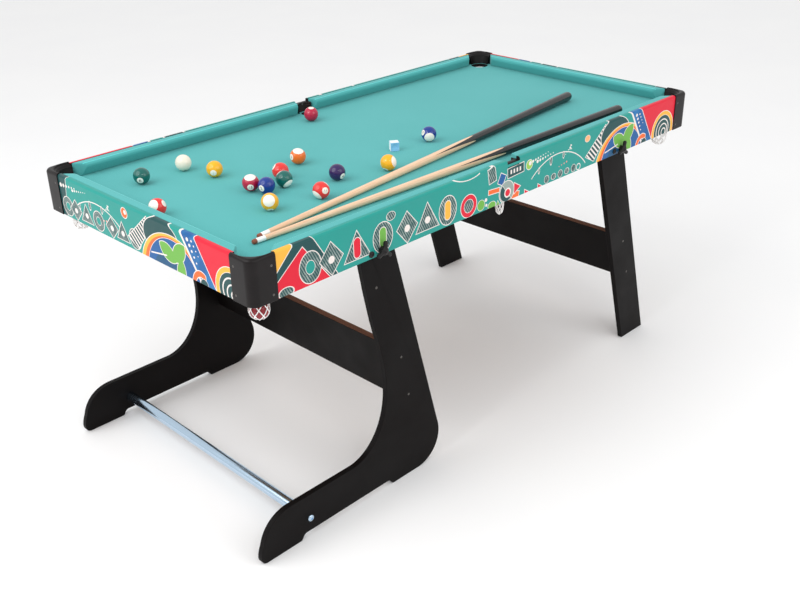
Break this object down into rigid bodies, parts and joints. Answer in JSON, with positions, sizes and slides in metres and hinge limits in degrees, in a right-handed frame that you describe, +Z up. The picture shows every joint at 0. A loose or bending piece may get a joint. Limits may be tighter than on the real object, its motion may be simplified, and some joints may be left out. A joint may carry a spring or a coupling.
{
  "type": "mini pool table",
  "caption": "Folding mini pool table with cushioned rails, net pockets, L-shaped and straight folding legs, cues, balls and chalk.",
  "frame": {"origin": "middle of the footprint on the floor", "axes": "+X along the table away from the L-shaped feet, +Y towards the back long side, +Z up"},
  "size_m": [1.5478, 0.7896, 0.7033],
  "materials": {
    "printed_apron": "printed film over board, satin, teal with coloured artwork",
    "bed_board": "raw fibreboard",
    "table_cloth": "teal brushed cloth",
    "black_plastic": "black, fine texture",
    "black_board": "black foil over board, brown raw edges",
    "net_cord": "white knotted cord",
    "chrome_steel": "polished",
    "cue_wood": "varnished, black painted butt",
    "chalk": "pressed blue chalk in white paper",
    "ball_cream": "polished resin",
    "ball_yellow": "polished resin",
    "ball_blue": "polished resin",
    "ball_red": "polished resin",
    "ball_purple": "polished resin",
    "ball_orange": "polished resin",
    "ball_green": "polished resin",
    "ball_maroon": "polished resin"
  },
  "bodies": {
    "tabletop": {"apron_front": "printed_apron", "apron_back": "printed_apron", "apron_left": "printed_apron", "apron_right": "printed_apron", "bed_panel": "bed_board", "bed_cloth": "table_cloth", "cushion_front_left": "table_cloth", "cushion_front_right": "table_cloth", "cushion_back_left": "table_cloth", "cushion_back_right": "table_cloth", "cushion_left": "table_cloth", "cushion_right": "table_cloth", "corner_cap_front_left": "black_plastic", "corner_cap_front_right": "black_plastic", "corner_cap_back_right": "black_plastic", "corner_cap_back_left": "black_plastic", "side_pocket_liner_front": "black_plastic", "side_pocket_liner_back": "black_plastic", "net_front_left": "net_cord", "net_front_right": "net_cord", "net_back_right": "net_cord", "net_back_left": "net_cord", "net_front_middle": "net_cord", "net_back_middle": "net_cord", "pivot_bolt_front_left": "black_plastic", "pivot_bolt_front_right": "black_plastic", "pivot_bolt_back_left": "black_plastic", "pivot_bolt_back_right": "black_plastic"},
    "l_leg_frame": {"l_leg_front": "black_board", "l_leg_back": "black_board", "l_leg_cross_panel": "black_board", "foot_tube": "chrome_steel", "foot_tube_bolt_front": "chrome_steel", "foot_tube_bolt_back": "chrome_steel"},
    "straight_leg_frame": {"straight_leg_front": "black_board", "straight_leg_back": "black_board", "straight_leg_cross_panel": "black_board"},
    "lock_knob_front_left": {"lock_knob_front_left": "black_plastic"},
    "lock_knob_front_right": {"lock_knob_front_right": "black_plastic"},
    "lock_knob_back_left": {"lock_knob_back_left": "black_plastic"},
    "lock_knob_back_right": {"lock_knob_back_right": "black_plastic"},
    "cue_ball": {"cue_ball": "ball_cream"},
    "ball_1": {"ball_1": "ball_yellow"},
    "ball_2": {"ball_2": "ball_blue"},
    "ball_3": {"ball_3": "ball_red"},
    "ball_4": {"ball_4": "ball_purple"},
    "ball_13": {"ball_13": "ball_orange"},
    "ball_6": {"ball_6": "ball_green"},
    "ball_7": {"ball_7": "ball_maroon"},
    "ball_9": {"ball_9": "ball_yellow"},
    "ball_10": {"ball_10": "ball_blue"},
    "ball_11": {"ball_11": "ball_red"},
    "ball_9_spare": {"ball_9_spare": "ball_yellow"},
    "ball_14": {"ball_14": "ball_green"},
    "ball_15": {"ball_15": "ball_maroon"},
    "ball_11_spare": {"ball_11_spare": "ball_red"},
    "ball_potted": {"ball_potted": "ball_maroon"},
    "cue_stick_front": {"cue_stick_front": "cue_wood"},
    "cue_stick_back": {"cue_stick_back": "cue_wood"},
    "chalk_cube": {"chalk_cube": "chalk"}
  },
  "joints": [
    {"name": "l_leg_fold", "type": "hinge", "parent": "tabletop", "child": "l_leg_frame", "pos_m": [-0.44111, 0, 0.611], "axis": [0, 1, 0], "range_deg": [0, 90]},
    {"name": "straight_leg_fold", "type": "hinge", "parent": "tabletop", "child": "straight_leg_frame", "pos_m": [0.42889, 0, 0.611], "axis": [0, 1, 0], "range_deg": [0, 107], "deforming": ["net_front_middle", "net_back_middle"]},
    {"name": "lock_knob_front_left_turn", "type": "hinge", "parent": "tabletop", "child": "lock_knob_front_left", "pos_m": [-0.41261, -0.38, 0.612], "axis": [0, 1, 0], "continuous": true},
    {"name": "lock_knob_front_right_turn", "type": "hinge", "parent": "tabletop", "child": "lock_knob_front_right", "pos_m": [0.45739, -0.38, 0.612], "axis": [0, 1, 0], "continuous": true},
    {"name": "lock_knob_back_left_turn", "type": "hinge", "parent": "tabletop", "child": "lock_knob_back_left", "pos_m": [-0.41261, 0.38, 0.612], "axis": [0, 1, 0], "continuous": true},
    {"name": "lock_knob_back_right_turn", "type": "hinge", "parent": "tabletop", "child": "lock_knob_back_right", "pos_m": [0.45739, 0.38, 0.612], "axis": [0, 1, 0], "continuous": true},
    {"name": "cue_ball_lift", "type": "slide", "parent": "tabletop", "child": "cue_ball", "axis": [0, 0, 1], "range_m": [0, 0.12]},
    {"name": "ball_1_lift", "type": "slide", "parent": "tabletop", "child": "ball_1", "axis": [0, 0, 1], "range_m": [0, 0.12]},
    {"name": "ball_2_lift", "type": "slide", "parent": "tabletop", "child": "ball_2", "axis": [0, 0, 1], "range_m": [0, 0.12]},
    {"name": "ball_3_lift", "type": "slide", "parent": "tabletop", "child": "ball_3", "axis": [0, 0, 1], "range_m": [0, 0.12]},
    {"name": "ball_4_lift", "type": "slide", "parent": "tabletop", "child": "ball_4", "axis": [0, 0, 1], "range_m": [0, 0.12]},
    {"name": "ball_13_lift", "type": "slide", "parent": "tabletop", "child": "ball_13", "axis": [0, 0, 1], "range_m": [0, 0.12]},
    {"name": "ball_6_lift", "type": "slide", "parent": "tabletop", "child": "ball_6", "axis": [0, 0, 1], "range_m": [0, 0.12]},
    {"name": "ball_7_lift", "type": "slide", "parent": "tabletop", "child": "ball_7", "axis": [0, 0, 1], "range_m": [0, 0.12]},
    {"name": "ball_9_lift", "type": "slide", "parent": "tabletop", "child": "ball_9", "axis": [0, 0, 1], "range_m": [0, 0.12]},
    {"name": "ball_10_lift", "type": "slide", "parent": "tabletop", "child": "ball_10", "axis": [0, 0, 1], "range_m": [0, 0.12]},
    {"name": "ball_11_lift", "type": "slide", "parent": "tabletop", "child": "ball_11", "axis": [0, 0, 1], "range_m": [0, 0.12]},
    {"name": "ball_9_spare_lift", "type": "slide", "parent": "tabletop", "child": "ball_9_spare", "axis": [0, 0, 1], "range_m": [0, 0.12]},
    {"name": "ball_14_lift", "type": "slide", "parent": "tabletop", "child": "ball_14", "axis": [0, 0, 1], "range_m": [0, 0.12]},
    {"name": "ball_15_lift", "type": "slide", "parent": "tabletop", "child": "ball_15", "axis": [0, 0, 1], "range_m": [0, 0.12]},
    {"name": "ball_11_spare_lift", "type": "slide", "parent": "tabletop", "child": "ball_11_spare", "axis": [0, 0, 1], "range_m": [0, 0.12]},
    {"name": "ball_potted_lift", "type": "slide", "parent": "tabletop", "child": "ball_potted", "axis": [0, 0, 1], "range_m": [0, 0.2]},
    {"name": "cue_stick_front_lift", "type": "slide", "parent": "tabletop", "child": "cue_stick_front", "axis": [0, 0, 1], "range_m": [0, 0.12]},
    {"name": "cue_stick_back_lift", "type": "slide", "parent": "tabletop", "child": "cue_stick_back", "axis": [0, 0, 1], "range_m": [0, 0.12]},
    {"name": "chalk_cube_lift", "type": "slide", "parent": "tabletop", "child": "chalk_cube", "axis": [0, 0, 1], "range_m": [0, 0.12]}
  ]
}
